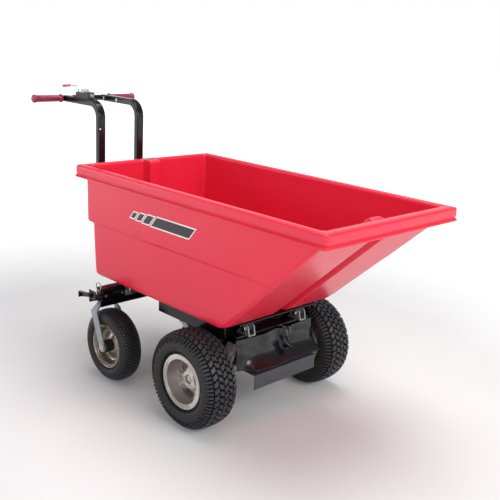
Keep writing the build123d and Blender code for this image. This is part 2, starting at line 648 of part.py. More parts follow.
pedal_tip_x = pedal_pin_x - 66
with BuildPart() as dump_pedal:
    prism_y([(pedal_pin_x + 6, pedal_pin_z - 8), (pedal_pin_x + 6, pedal_pin_z + 9), (pedal_tip_x, pedal_pin_z + 1),
             (pedal_tip_x, pedal_pin_z - 22), (pedal_pin_x - 12, pedal_pin_z - 9)], -pedal_y0, -pedal_y0 - 3)
    prism_y([(pedal_pin_x - 10, pedal_pin_z + 7), (pedal_tip_x, pedal_pin_z + 1),
             (pedal_tip_x, pedal_pin_z - 2), (pedal_pin_x - 10, pedal_pin_z + 4)], -pedal_y0, -pedal_y1)
    block(pedal_tip_x, pedal_tip_x + 3, -pedal_y1, -pedal_y0, pedal_pin_z - 22, pedal_pin_z + 1)
    rod_y(pedal_pin_x, -pedal_y0 - 3, -pedal_y0 - 8, pedal_pin_z, 7)
    rod_y(pedal_pin_x, -pedal_y0 + 1, -pedal_y1 - 1, pedal_pin_z, 4 + run_gap, Mode.SUBTRACT)
save(dump_pedal, "dump_pedal")

striker_y = latch_in - 8
with BuildPart() as latch_striker:
    block(kingpin_x - 12, kingpin_x + 28, -striker_y, -striker_y + 4, latch_pin_z - 10, tub_z - 4)
    block(kingpin_x - 12, kingpin_x + 28, -striker_y, -striker_y + 40, tub_z - 4, tub_z)
    rod_y(latch_pin_x, -striker_y - 1, -striker_y + 5, latch_pin_z, latch_pin_r + 0.5, Mode.SUBTRACT)
save(latch_striker, "latch_striker")

# ---------------------------------------------------------------- controls on the right bar
top = bar_z + handle_t / 2
box_y0 = -handle_half - handle_y / 2
box_y1 = -handle_half + handle_y / 2
box_front = axle_x - 890
with BuildPart() as control_box:
    block(box_front - 108, box_front, box_y0, box_y1, top, top + 8)
    block(box_front - 88, box_front - 24, box_y0 + 1, box_y1 - 1, top + 8, top + 22)
    block(box_front - 22, box_front, box_y0, box_y1, top + 8, top + 26)
    rod_z(box_front - 93, -handle_half, top, top + 9, 3 + run_gap, Mode.SUBTRACT)
save(control_box, "control_box")

with BuildPart() as throttle_housing:
    rod_y(box_front - 42, box_y0 + 2, box_y1 - 2, top + 25, 11)
    block(box_front - 60, box_front - 24, box_y0 - 1, box_y1 + 1, top + 8, top + 22, mode=Mode.SUBTRACT)
save(throttle_housing, "throttle_housing")

lever_x = box_front - 93
lever_top = top + 42
with BuildPart() as speed_lever:
    with BuildLine(Plane.XZ.offset(handle_half)) as lever_route:
        FilletPolyline((lever_x, top + 1), (lever_x, lever_top), (lever_x - 56, lever_top),
                       (lever_x - 80, lever_top - 3), radius=8)
    with BuildSketch(Plane(origin=lever_route.line @ 0, z_dir=lever_route.line % 0)):
        Circle(2.9)
    sweep()
    rod_z(lever_x, -handle_half, top + 8.2, top + 13, 4.5)
save(speed_lever, "speed_lever")

tip_start = lever_x - 57
tip_end = axle_x - back_reach
with BuildPart() as lever_tip:
    with Locations(Location(((tip_start + tip_end) / 2, -handle_half, lever_top - 3.5), (0, -97, 0))):
        Cone(4.6, 6.0, abs(tip_end - tip_start) - 2)
    add(speed_lever.part, mode=Mode.SUBTRACT)
save(lever_tip, "lever_tip")

with BuildPart() as key_switch:
    rod_x(box_front, box_front + 4, -handle_half, top + 15, 7)
    block(box_front + 4, box_front + 16, -handle_half - 1.2, -handle_half + 1.2, top + 8, top + 22)
save(key_switch, "key_switch")
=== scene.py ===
"""Looks of the power wheelbarrow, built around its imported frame. +X forward, +Y left, +Z up, metres."""
import json
import math
import random

import bmesh
import bpy
import numpy as np
from mathutils import Matrix, Vector


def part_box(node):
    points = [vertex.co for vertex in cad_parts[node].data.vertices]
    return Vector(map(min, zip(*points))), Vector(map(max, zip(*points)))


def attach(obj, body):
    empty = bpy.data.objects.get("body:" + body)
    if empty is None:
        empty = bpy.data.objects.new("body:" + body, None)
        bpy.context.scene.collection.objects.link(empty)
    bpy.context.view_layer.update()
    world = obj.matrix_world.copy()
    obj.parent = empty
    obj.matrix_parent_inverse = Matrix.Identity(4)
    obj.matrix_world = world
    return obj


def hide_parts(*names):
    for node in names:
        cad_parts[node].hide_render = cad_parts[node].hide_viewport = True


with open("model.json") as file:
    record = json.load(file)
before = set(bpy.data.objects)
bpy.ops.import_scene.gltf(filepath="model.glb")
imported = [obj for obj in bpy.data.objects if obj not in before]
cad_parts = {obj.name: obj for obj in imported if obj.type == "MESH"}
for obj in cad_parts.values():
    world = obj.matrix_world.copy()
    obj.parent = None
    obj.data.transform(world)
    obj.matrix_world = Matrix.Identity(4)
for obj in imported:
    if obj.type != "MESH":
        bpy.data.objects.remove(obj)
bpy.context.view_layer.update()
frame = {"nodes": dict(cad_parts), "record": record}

MM = 0.001
SIDES = (("right", -1), ("left", 1))
NODES = frame["nodes"]
BODY_OF = {node: body for body, members in frame["record"]["behaviour"]["bodies"].items() for node in members}
SLOT_OF = {row["node"]: row["material_slot"] for row in frame["record"]["subparts"]}


def box(*nodes):
    """Lowest and highest corner of some nodes, in millimetres."""
    corners = [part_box(node) for node in nodes]
    low = Vector([min(c[0][k] for c in corners) for k in range(3)]) / MM
    high = Vector([max(c[1][k] for c in corners) for k in range(3)]) / MM
    return low, high


# ---------------------------------------------------------------- materials
def linear(code):
    """An sRGB hex value as linear red, green, blue and alpha."""
    values = [int(code[k:k + 2], 16) / 255 for k in (0, 2, 4)]
    return tuple(v / 12.92 if v <= 0.04045 else ((v + 0.055) / 1.055) ** 2.4 for v in values) + (1.0,)


def add(tree, kind, settings=(), **inputs):
    """Adds one node. An input is a value or another node's output; settings are the node's own properties."""
    node = tree.nodes.new(kind)
    for name, value in dict(settings).items():
        setattr(node, name, value)
    for name, value in inputs.items():
        numbered = name[0] == "_" and name[1:].isdigit()
        socket = node.inputs[int(name[1:])] if numbered else node.inputs[name.replace("_", " ")]
        if isinstance(value, bpy.types.NodeSocket):
            tree.links.new(value, socket)
        else:
            socket.default_value = value
    return node


def finish(name, colour, second, patch_mm, grain_mm, grain_depth_mm, rough, rough_spread=0.06, metallic=0.0,
           coat=0.0, coat_rough=0.1, edge=None, hollow_tone=None, specular=0.5, stretch=(1, 1, 1)):
    """A surface whose colour wanders between two tones over patch_mm, with fine relief in grain_mm.

    The relief is grain_depth_mm deep. Two optional tones go on convex edges and in hollows, by curvature
    alone.
    """
    material = bpy.data.materials.new(name)
    material.use_nodes = True
    tree = material.node_tree
    shader = tree.nodes["Principled BSDF"]
    place = add(tree, "ShaderNodeTexCoord").outputs["Object"]
    stretched = add(tree, "ShaderNodeMapping", Vector=place, Scale=stretch).outputs[0]
    patches = add(tree, "ShaderNodeTexNoise", Vector=stretched, Scale=1 / (patch_mm * MM), Detail=5.0,
                  Roughness=0.6)
    tone = add(tree, "ShaderNodeMix", {"data_type": "RGBA"}, _0=patches.outputs["Fac"], _6=linear(colour),
               _7=linear(second))
    colour_out = tone.outputs[2]
    pointiness = add(tree, "ShaderNodeNewGeometry").outputs["Pointiness"]
    if edge:
        convex_mask = add(tree, "ShaderNodeMapRange", Value=pointiness, From_Min=0.53, From_Max=0.62, To_Max=0.8)
        colour_out = add(tree, "ShaderNodeMix", {"data_type": "RGBA"}, _0=convex_mask.outputs[0], _6=colour_out,
                         _7=linear(edge)).outputs[2]
    if hollow_tone:
        hollow_mask = add(tree, "ShaderNodeMapRange", Value=pointiness, From_Min=0.47, From_Max=0.38, To_Max=0.8)
        colour_out = add(tree, "ShaderNodeMix", {"data_type": "RGBA"}, _0=hollow_mask.outputs[0], _6=colour_out,
                         _7=linear(hollow_tone)).outputs[2]
    tree.links.new(colour_out, shader.inputs["Base Color"])
    smear = add(tree, "ShaderNodeTexNoise", Vector=stretched, Scale=1 / (patch_mm * 0.4 * MM), Detail=3.0)
    gloss = add(tree, "ShaderNodeMapRange", Value=smear.outputs["Fac"], From_Min=0.3, From_Max=0.7,
                To_Min=max(rough - rough_spread, 0.02), To_Max=min(rough + rough_spread, 1.0))
    tree.links.new(gloss.outputs[0], shader.inputs["Roughness"])
    grain = add(tree, "ShaderNodeTexNoise", Vector=stretched, Scale=1 / (grain_mm * MM), Detail=2.0)
    relief = add(tree, "ShaderNodeBump", Strength=1.0, Distance=grain_depth_mm * MM,
                 Height=grain.outputs["Fac"])
    tree.links.new(relief.outputs[0], shader.inputs["Normal"])
    shader.inputs["Metallic"].default_value = metallic
    shader.inputs["Coat Weight"].default_value = coat
    shader.inputs["Coat Roughness"].default_value = coat_rough
    if not metallic:
        shader.inputs["Specular IOR Level"].default_value = specular
    return material


# Rotation-moulded polyethylene: waxy gloss, faint cloudiness and a long soft ripple from the mould.
HOPPER_RED = finish("rotomoulded_red_polyethylene", "dd2541", "d8213c", 200, 80, 0.004, 0.3, 0.02,
                    coat=0.08, coat_rough=0.25, specular=0.42)
# Powder coat over steel tube: deep gloss with a fine orange peel.
FRAME_BLACK = finish("gloss_black_powder_coat", "08090c", "0e0f13", 60, 4, 0.02, 0.16, 0.04, specular=0.4)
# Zinc plated strip: pale blue-grey, spangled, half dull.
ZINC = finish("zinc_plated_steel", "a9adaf", "8f9497", 14, 1.2, 0.01, 0.42, 0.08, metallic=0.9)
# Plated bolts: brighter and smoother than the strip.
BOLT_STEEL = finish("bright_plated_fasteners", "d3d2cc", "aeaca6", 6, 0.8, 0.01, 0.24, 0.06, metallic=1.0)
# Sand-cast wheel alloy: satin, with a fine grain, lighter on convex edges and darker in the hollows.
CAST_ALLOY = finish("cast_aluminium_wheel_alloy", "b9b1ad", "a49d9a", 22, 1.0, 0.03, 0.34, 0.06,
                    metallic=0.8, hollow_tone="4c4946", edge="d6d0cb")
# Silver lacquer on pressed steel, yellowed a little by rubber dust, darker in the hollows.
CASTER_STEEL = finish("silver_lacquered_pressed_steel", "9c9188", "7f766d", 18, 1.4, 0.02, 0.28, 0.06,
                      metallic=0.85, hollow_tone="3f3a35")
# Tyre rubber: charcoal and dry. The paler lugs are a painted sheen, in a material of their own.
TYRE_RUBBER = finish("moulded_sidewall_rubber", "1d1b1a", "252321", 30, 1.1, 0.05, 0.55, 0.06, specular=0.35)
# The lugs themselves: the same rubber painted paler and blue-grey, a painted sheen of the light on them.
LUG_RUBBER_PAINTED_SHEEN = finish("tread_lugs_painted_sheen", "2a2b2f", "222327", 24, 1.1, 0.03, 0.46, 0.05, specular=0.5)
# Floor of the tread between the lugs: the same rubber painted near-black, a painted shade in the grooves.
GROOVE_RUBBER_PAINTED_SHADE = finish("tread_floor_painted_shade", "0c0c0c", "121211", 24, 1.1, 0.05, 0.75, 0.06, specular=0.2)
# Soft dark red vinyl grip, slightly shiny from hands.
GRIP_RED = finish("dark_red_vinyl_grip", "8a1936", "76142d", 25, 1.5, 0.02, 0.38, 0.05, specular=0.5)
# Dipped vinyl lever sleeve: bright and smooth.
LEVER_RED = finish("red_dipped_vinyl", "d8141c", "c01018", 8, 1.5, 0.02, 0.28, 0.04, coat=0.3)
# Calendered vinyl sheet: wet-looking black with a fine leather print.
COVER_BLACK = finish("glossy_black_vinyl_sheet", "0b0d11", "08090d", 90, 30.0, 0.01, 0.24, 0.03,
                     specular=0.45, coat=0.08, coat_rough=0.18)
# Satin grey paint on folded plate.
PLATE_GREY = finish("satin_grey_plate_paint", "3d4047", "34373e", 60, 1.5, 0.01, 0.4, 0.05)
# Black glass-filled nylon and ABS mouldings.
BLACK_PLASTIC = finish("black_moulded_plastic", "131314", "1b1b1c", 15, 0.9, 0.05, 0.46, 0.06)
# Moulded black rubber for bumpers.
BLACK_RUBBER = finish("black_bumper_rubber", "0f0f0f", "171717", 10, 1.0, 0.06, 0.7, 0.06)
# Grey die-cast control housing with a sand-blasted face.
BOX_GREY = finish("grey_blasted_control_housing", "3c3833", "2d2a26", 14, 0.8, 0.05, 0.45, 0.08, specular=0.4)
# Yellow zinc chromate on bolts: pale brass with a rainbow drift.
BRASS_BOLT = finish("yellow_zinc_chromate_bolts", "d9b36a", "c3a27c", 4, 0.8, 0.01, 0.3, 0.06, metallic=1.0)
# Printed vinyl marking: plain dark bars on a white border, no lettering.
MARK_DARK = finish("printed_dark_marking", "1d191c", "262125", 20, 1.0, 0.01, 0.3, 0.04)
MARK_WHITE = finish("printed_white_marking", "efeceb", "e2dedd", 20, 1.0, 0.01, 0.3, 0.04)

FINISHES = {
    "hopper_red": HOPPER_RED, "frame_black": FRAME_BLACK, "zinc": ZINC, "bolt_steel": BOLT_STEEL,
    "cast_alloy": CAST_ALLOY, "caster_steel": CASTER_STEEL, "tyre_rubber": TYRE_RUBBER, "grip_red": GRIP_RED,
    "lever_red": LEVER_RED, "cover_black": COVER_BLACK, "plate_grey": PLATE_GREY,
            "black_plastic": BLACK_PLASTIC,
    "black_rubber": BLACK_RUBBER, "box_grey": BOX_GREY, "brass_bolt": BRASS_BOLT,
}
for node, thing in NODES.items():
    thing.data.materials.clear()
    thing.data.materials.append(FINISHES[SLOT_OF[node]])


# ---------------------------------------------------------------- mesh helpers
def smooth(mesh, degrees=32):
    mesh.polygons.foreach_set("use_smooth", [True] * len(mesh.polygons))
    mesh.set_sharp_from_angle(angle=math.radians(degrees))


def piece(name, points_mm, faces, material, body, replaced=(), sharp=32):
    """A new piece from points in millimetres; it rides on a body and stands for the replaced nodes."""
    mesh = bpy.data.meshes.new(name)
    mesh.from_pydata([tuple(c * MM for c in p) for p in points_mm], [], [tuple(f) for f in faces])
    mesh.validate()
    mesh.update()
    smooth(mesh, sharp)
    thing = bpy.data.objects.new(name, mesh)
    bpy.context.scene.collection.objects.link(thing)
    mesh.materials.append(material)
    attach(thing, body)
    if replaced:
        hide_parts(*replaced)
    return thing


def bevel(thing, width_mm, segments=2, degrees=35):
    modifier = thing.modifiers.new("edge_radius", "BEVEL")
    modifier.width = width_mm * MM
    modifier.segments = segments
    modifier.limit_method = "ANGLE"
    modifier.angle_limit = math.radians(degrees)


def softened(node, width_mm, segments=2):
    """The node's own shape again, with its sharp edges rounded as bent, sawn or cast metal has them."""
    mesh = NODES[node].data.copy()
    shape = bmesh.new()
    shape.from_mesh(mesh)
    bmesh.ops.remove_doubles(shape, verts=shape.verts, dist=0.00002)
    bmesh.ops.dissolve_limit(shape, angle_limit=math.radians(1.5), verts=shape.verts, edges=shape.edges)
    bmesh.ops.recalc_face_normals(shape, faces=shape.faces)
    shape.to_mesh(mesh)
    shape.free()
    smooth(mesh, 30)
    thing = bpy.data.objects.new(node + "_finished", mesh)
    bpy.context.scene.collection.objects.link(thing)
    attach(thing, BODY_OF[node])
    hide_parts(node)
    bevel(thing, width_mm, segments)
    return thing


def lathe(profile, centre, steps, closed=True):
    """Points and faces of (offset along Y, radius) pairs turned about an axis along Y."""
    points, faces = [], []
    count = len(profile)
    for k in range(steps):
        a = 2 * math.pi * k / steps
        points += [(centre[0] + r * math.cos(a), centre[1] + w, centre[2] + r * math.sin(a)) for w,
                   r in profile]
    for k in range(steps):
        here, there = k * count, (k + 1) % steps * count
        for j in range(count if closed else count - 1):
            n = (j + 1) % count
            faces.append((here + j, here + n, there + n, there + j))
    return points, faces


def rounded_curve(points, per_span=6):
    """A smooth line through points, by Catmull-Rom."""
    p = np.array([points[0], *points, points[-1]], float)
    out = []
    for k in range(1, len(p) - 2):
        for t in np.linspace(0, 1, per_span, endpoint=False):
            out.append(0.5 * (2 * p[k] + (p[k + 1] - p[k - 1]) * t
                              + (2 * p[k - 1] - 5 * p[k] + 4 * p[k + 1] - p[k + 2]) * t ** 2
                              + (3 * p[k] - p[k - 1] - 3 * p[k + 1] + p[k + 2]) * t ** 3))
    out.append(p[-2])
    return [tuple(v) for v in out]


def step_between(value, low, high):
    """0 below low, 1 above high and a smooth rise between."""
    t = min(max((value - low) / (high - low), 0.0), 1.0)
    return t * t * (3 - 2 * t)


# ---------------------------------------------------------------- hopper
HOPPER_LOW, HOPPER_HIGH = box("hopper_tub")
RIM_DEPTH = 42.0
WALL = 5.0
FLOOR_Z = HOPPER_LOW.z
RIM_TOP = HOPPER_HIGH.z
RIM_Z = RIM_TOP - RIM_DEPTH
RIM_HALF = HOPPER_HIGH.y
TUB_BACK = HOPPER_LOW.x + 34
TUB_FRONT = TUB_BACK + 715
NOSE_RISE = 210 / 226
NOSE_ANGLE = math.atan(NOSE_RISE)
STEP_Z = FLOOR_Z + 210
RIDGE_HALF, RIDGE_DEEP = 30.0, 28.0
RIB_HALF, RIB_DEEP = 27.5, 38.0


def tub_level(z, above_ledge, inset=0.0):
    """Back, front, half width at the back and at the front, and corner radius of the tub at a height."""
    front = TUB_FRONT + (z - FLOOR_Z) / NOSE_RISE - inset / math.sin(NOSE_ANGLE)
    if above_ledge:
        t = (z - STEP_Z) / (RIM_Z - STEP_Z)
        back = TUB_BACK - 12 - 2 * t + inset
        half_back, half_front = RIM_HALF - 29 + 2 * t, RIM_HALF - 36 + 9 * t
    else:
        t = (z - FLOOR_Z) / (STEP_Z - FLOOR_Z)
        back = TUB_BACK + 4 * t + inset
        half_back, half_front = RIM_HALF - 56 + 13 * t, RIM_HALF - 56 + 16 * t
    return [back, front, half_back - inset, half_front - inset, 20 - inset]


def rim_level(offset):
    return [HOPPER_LOW.x + offset, HOPPER_HIGH.x - offset, RIM_HALF - offset, RIM_HALF - offset,
            max(12 - offset, 5)]


END_MARKS = (0, 8, 16, 22, 26, 30, 34, 39, 46)


def tub_ring(z, level, ridge, rib, spread=0.0):
    """One loop of points round the hopper; ridge and rib say how far the two channels are pushed in here."""
    back, front, half_back, half_front, r = level
    base = half_back
    across = list(END_MARKS) + list(np.linspace(46, base - r, 9)[1:-1])
    ends = [-v for v in reversed(across)] + across[1:]
    arc = [math.radians(a) for a in np.linspace(0, 90, 7)]
    loop = [(front, y) for y in ends]
    loop += [(front - r + r * math.cos(a), base - r + r * math.sin(a)) for a in arc]
    loop += [(x, base) for x in np.linspace(front - r, back + r, 30)[1:-1]]
    loop += [(back + r - r * math.sin(a), base - r + r * math.cos(a)) for a in arc]
    loop += [(back, -y) for y in ends]
    loop += [(back + r - r * math.cos(a), -base + r - r * math.sin(a)) for a in arc]
    loop += [(x, -base) for x in np.linspace(back + r, front - r, 30)[1:-1]]
    loop += [(front - r + r * math.sin(a), -base + r - r * math.cos(a)) for a in arc]
    points = []
    for x, y in loop:
        t = (x - back) / (front - back)
        y_wide = y * (half_back + (half_front - half_back) * t) / half_back if abs(y) > 60 else y
        px, pz = x, z
        if ridge and x > front - 2:
            push = ridge * (1 - step_between(abs(y), RIDGE_HALF - 7, RIDGE_HALF + 5 + spread))
            px -= push * math.sin(NOSE_ANGLE)
            pz += push * math.cos(NOSE_ANGLE)
        if rib and x < back + 2:
            px += rib * (1 - step_between(abs(y), RIB_HALF - 5, RIB_HALF + 5))
        points.append((px, y_wide, pz))
    return points


def hopper():
    rings = []

    def ring(z, level, ridge=0.0, rib=0.0):
        rings.append(tub_ring(z, level, ridge, rib))

    def ridge_at(z):
        return RIDGE_DEEP * (1 - step_between(z, RIM_Z - 30, RIM_Z - 2))

    def hump_at(z):
        swollen = RIDGE_DEEP + 30 * step_between(z, RIM_Z - 110, RIM_Z - 20)
        return swollen * (1 - step_between(z, RIM_Z - 8, RIM_Z + 14))

    def shell(z, above, inset):
        ring(z, tub_level(z, above, inset), ridge_at(z), RIB_DEEP)

    for shrink, lift, share in ((70, 0, 0.0), (34, 0, 0.35), (14, 0.6, 0.8), (5, 4, 1.0), (1, 11, 1.0)):
        level = tub_level(FLOOR_Z + lift, False, shrink)
        level[4] = max(20 - shrink * 0.2, 10)
        ring(FLOOR_Z + lift, level, RIDGE_DEEP * share, RIB_DEEP * share)
    for z in (FLOOR_Z + 24, 410, 450, 490, 530, STEP_Z - 10, STEP_Z - 3):
        shell(z, False, 0)
    for z in (STEP_Z + 3, STEP_Z + 10, 600, 630, 660, 690, 702, 711, 720, 729):
        shell(z, True, 0)
    under = tub_level(RIM_Z, True, 0)
    ring(RIM_Z + 14, under, 0, RIB_DEEP)
    ring(RIM_TOP - 12, under, 0, RIB_DEEP)
    ring(RIM_TOP - 10, rim_level(9))
    for z, offset in ((RIM_TOP - 14, 6), (RIM_Z + 12, 5), (RIM_Z + 1, 3.5), (RIM_Z - 1.6, 2), (RIM_Z - 2, -2),
                      (RIM_Z - 1.5, -5.3), (RIM_Z + 1.4, -6), (RIM_Z + 4.0, -5.4), (RIM_Z + 5.6, -3.0),
                      (RIM_Z + 7.2, 0.6),
                      (RIM_Z + 9.4, 1.4), (RIM_Z + 11.6, -0.6), (RIM_Z + 13.4, -1.6), (RIM_Z + 16, -1.8),
                      (RIM_TOP - 10, -1.4), (RIM_TOP - 6, -1), (RIM_TOP - 3.6, 0.2), (RIM_TOP - 2, 2.4),
                      (RIM_TOP - 0.8, 6), (RIM_TOP, 12), (RIM_TOP - 0.2, 19)):
        ring(z, rim_level(offset))
    for z, inset, rib in ((RIM_TOP - 0.8, 0.2, 34), (RIM_TOP - 2.6, 2.6, 37), (RIM_TOP - 6, WALL, RIB_DEEP)):
        ring(z, tub_level(RIM_Z, True, inset), 0, rib)
    for z in (RIM_TOP - 14, RIM_Z + 18, RIM_Z + 8, RIM_Z):
        rings.append(tub_ring(z, tub_level(min(z, RIM_Z + 8), True, WALL), hump_at(z), RIB_DEEP, 14))
    for z in (RIM_Z - 8, 712, 700, 685, 665, 640, 605, STEP_Z + 16, STEP_Z + 8):
        rings.append(tub_ring(z, tub_level(z, True, WALL), hump_at(z), RIB_DEEP, 14))
    for z in (STEP_Z + 2, STEP_Z - 6, 530, 490, 450, 410, FLOOR_Z + 34):
        shell(z, False, WALL)
    for shrink, lift, share in ((6, 20, 1.0), (11, 10, 1.0), (22, 5.4, 0.8), (44, 5, 0.35), (78, 5, 0.0)):
        level = tub_level(FLOOR_Z + lift, False, shrink)
        level[4] = max(16 - shrink * 0.2, 8)
        ring(FLOOR_Z + lift, level, RIDGE_DEEP * share, RIB_DEEP * share)

    count = len(rings[0])
    points = [p for one in rings for p in one]
    faces = []
    for k in range(len(rings) - 1):
        for j in range(count):
            n = (j + 1) % count
            faces.append((k * count + j, k * count + n, (k + 1) * count + n, (k + 1) * count + j))
    last = (len(rings) - 1) * count
    faces += [list(range(count - 1, -1, -1)), list(range(last, last + count))]
    tub = piece("hopper_shell", points, faces, HOPPER_RED, "hopper", ["hopper_tub"], sharp=80)
    subdivide = tub.modifiers.new("moulded_surface", "SUBSURF")
    subdivide.levels = subdivide.render_levels = 1
    return tub


def wall_y(x, z, gap=0.9):
    """The outside of the right-hand hopper wall, `gap` proud."""
    back, front, half_back, half_front, _ = tub_level(z, z > STEP_Z + 5)
    return -(half_back + (half_front - half_back) * (x - back) / (front - back)) - gap


def marking():
    """A row of plain slanted bars with a white border, flat on the right side of the hopper."""
    bars = ((-62, -42, 0.6), (-28, -4, 0.75), (10, 44, 0.9), (58, 250, 1.0))
    middle, half, slant = 646.0, 17.0, 15.0
    for name, grow, gap, material, slot in (("border", 4.5, 0.8, MARK_WHITE, "zinc"),
                                            ("bars", 0.0, 1.3, MARK_DARK, "black_plastic")):
        points, faces = [], []
        for x0, x1, share in bars:
            low, high = middle - half * share - grow, middle + half * share + grow
            start = len(points)
            for k in range(11):
                for z in (low, high):
                    x = x0 - grow + (x1 - x0 + 2 * grow) * k / 10 + slant * (z - middle) / half
                    points += [(x, wall_y(x, z, g), z) for g in (gap, gap - 0.4)]
            for k in range(10):
                a = start + 4 * k
                faces += [(a, a + 4, a + 6, a + 2), (a + 1, a + 3, a + 7, a + 5), (a, a + 1, a + 5, a + 4),
                          (a + 2, a + 6, a + 7, a + 3)]
            faces += [(start, start + 2, start + 3, start + 1),
                      (start + 40, start + 41, start + 43, start + 42)]
        piece(f"hopper_marking_{name}", points, faces, material, "hopper")


# ---------------------------------------------------------------- tyres
def crown_line(profile):
    """The outside of a tyre from its middle to one bead, as points with their distance along it."""
    line = np.array(rounded_curve(profile, 12))
    run = np.concatenate([[0], np.cumsum(np.hypot(*np.diff(line, axis=0).T))])
    return line, run


def on_crown(line, run, s):
    """Offset, radius and outward direction at a distance s from the middle of the tread."""
    side = 1 if s >= 0 else -1
    d = min(abs(s), run[-1])
    w = float(np.interp(d, run, line[:, 0]))
    r = float(np.interp(d, run, line[:, 1]))
    w2 = float(np.interp(min(d + 1, run[-1]), run, line[:, 0]))
    r2 = float(np.interp(min(d + 1, run[-1]), run, line[:, 1]))
    length = math.hypot(w2 - w, r2 - r) or 1
    return side * w, r, side * -(r2 - r) / length, (w2 - w) / length


def lugs(name, outlines, line, run, centre, height, body, base=-0.6, draft=0.9):
    """Raised blocks on a tyre: each outline is (turn, s) points and a share of the full height."""
    points, faces = [], []
    for outline, share in outlines:
        n = len(outline)
        start = len(points)
        mid_a = sum(a for a, _ in outline) / n
        mid_s = sum(s for _, s in outline) / n
        for lift, size in ((base, 1.0), (height * share, draft)):
            for a, s in outline:
                a2, s2 = mid_a + (a - mid_a) * size, mid_s + (s - mid_s) * size
                w, r, out_w, out_r = on_crown(line, run, s2)
                w, r = w + out_w * lift, r + out_r * lift
                points.append((centre[0] + r * math.cos(a2), centre[1] + w, centre[2] + r * math.sin(a2)))
        faces.append([start + n + k for k in range(n)])
        faces.append([start + n - 1 - k for k in range(n)])
        for k in range(n):
            m = (k + 1) % n
            faces.append((start + k, start + m, start + n + m, start + n + k))
    # The lugs take the paler blue-grey copy of the rubber: a painted sheen.
    mesh_piece = piece(name, points, faces, LUG_RUBBER_PAINTED_SHEEN, body, sharp=25)
    recalc(mesh_piece)
    return mesh_piece


def recalc(thing):
    shape = bmesh.new()
    shape.from_mesh(thing.data)
    bmesh.ops.recalc_face_normals(shape, faces=shape.faces)
    shape.to_mesh(thing.data)
    shape.free()


def carcass(name, node, profile, bead, centre, body, tread_half):
    """The tyre's body: the outside line from bead to bead and a straight close inside."""
    line, _ = crown_line(profile)
    right = [(w, r) for w, r in line]
    outline = [(-w, r) for w, r in reversed(right)] + right[1:] + [(bead[0], bead[1]), (-bead[0], bead[1])]
    points, faces = lathe(outline, centre, 96)
    tyre = piece(name, points, faces, TYRE_RUBBER, body, [node], sharp=50)
    recalc(tyre)
    # Faces across the tread take the near-black copy of the rubber: painted shade between the lugs.
    tyre.data.materials.append(GROOVE_RUBBER_PAINTED_SHADE)
    shade_painted_faces = [1 if abs(face.center.y / MM - centre.y) < tread_half else 0 for face in tyre.data.polygons]
    tyre.data.polygons.foreach_set("material_index", shade_painted_faces)
    return tyre


def turf_tyre(side):
    node = f"{side}_drive_tyre"
    low, high = box(node)
    centre = (low + high) / 2
    outer = (high.z - low.z) / 2
    half = (high.y - low.y) / 2
    lug = 8.5
    crown = outer - lug + 1.5
    profile = [(0, crown), (20, crown - 0.5), (36, crown - 3), (47, crown - 8), (half - 5, crown - 18),
               (half - 1, crown - 31), (half - 0.7, crown - 43), (half - 6, crown - 55), (half - 12, 96),
               (47, 92.6), (46, 88)]
    body = f"{side}_drive_wheel"
    carcass(f"{side}_turf_tyre", node, profile, (46, 84), centre, body, half - 6)
    line, run = crown_line(profile)
    count = 45
    pitch = 2 * math.pi / count
    outlines = []
    for row, (middle, width) in enumerate(((0.0, 16.6), (18.0, 16.4), (35.4, 15.4))):
        for mirror in ((1,) if row == 0 else (1, -1)):
            for k in range(count):
                a = (k + 0.5 * (row % 2)) * pitch
                s, h, u = middle * mirror, width / 2, pitch * 0.37
                wave = pitch * 0.11 * (-1) ** row
                outlines.append(([(a - u - wave, s - h), (a + u - wave, s - h), (a + u - wave, s - h * 0.4),
                                  (a + u + wave, s + h * 0.1), (a + u + wave, s + h), (a - u + wave, s + h),
                                  (a - u + wave, s + h * 0.4), (a - u - wave, s - h * 0.1)],
                                 1.0 if row < 2 else 0.95))
    shoulder = 72
    step = 2 * math.pi / shoulder
    for mirror in (1, -1):
        for k in range(shoulder):
            a = (k + (0.5 if mirror > 0 else 0)) * step
            deep = 66.0 if k % 2 else 72.0
            outlines.append(([(a - step * 0.29, 44.5 * mirror), (a + step * 0.29, 44.5 * mirror),
                              (a + step * 0.26, 56 * mirror), (a + step * 0.1, deep * mirror),
                              (a - step * 0.1, deep * mirror), (a - step * 0.26, 56 * mirror)], 0.7))
    tread = lugs(f"{side}_turf_tread", outlines, line, run, centre, lug - 0.4, body)
    bevel(tread, 0.7, 1, 30)
    return tread


def ribbed_tyre(side):
    node = f"{side}_caster_tyre"
    low, high = box(node)
    centre = (low + high) / 2
    outer = (high.z - low.z) / 2
    half = (high.y - low.y) / 2
    lug = 2.2
    crown = outer - lug
    profile = [(0, crown), (14, crown - 1), (26, crown - 5), (35, crown - 13), (half - 2.6, crown - 25),
               (half - 2, crown - 33), (half - 7, crown - 43), (34, 85.5), (32, 80)]
    body = f"{side}_caster_wheel"
    carcass(f"{side}_ribbed_tyre", node, profile, (32, 74), centre, body, half - 9)
    line, run = crown_line(profile)
    count = 64
    pitch = 2 * math.pi / count
    outlines = []
    for row, (s, width) in enumerate(((0, 8.6), (10.2, 8.6), (20.4, 8.6), (30.4, 8.0), (39.6, 7.0))):
        for mirror in ((1,) if row == 0 else (1, -1)):
            for k in range(count):
                a = (k + 0.5 * (row % 2)) * pitch
                u = pitch * 0.4
                h = width / 2
                outlines.append(([(a - u, (s - h) * mirror), (a + u * 0.6, (s - h) * mirror),
                                  (a + u, s * mirror),
                                  (a + u * 0.6, (s + h) * mirror), (a - u, (s + h) * mirror),
                                  (a - u * 0.6, s * mirror)], 1.0 if row < 4 else 0.6))
    return lugs(f"{side}_ribbed_tread", outlines, line, run, centre, lug - 0.2, body, base=-0.4, draft=0.86)


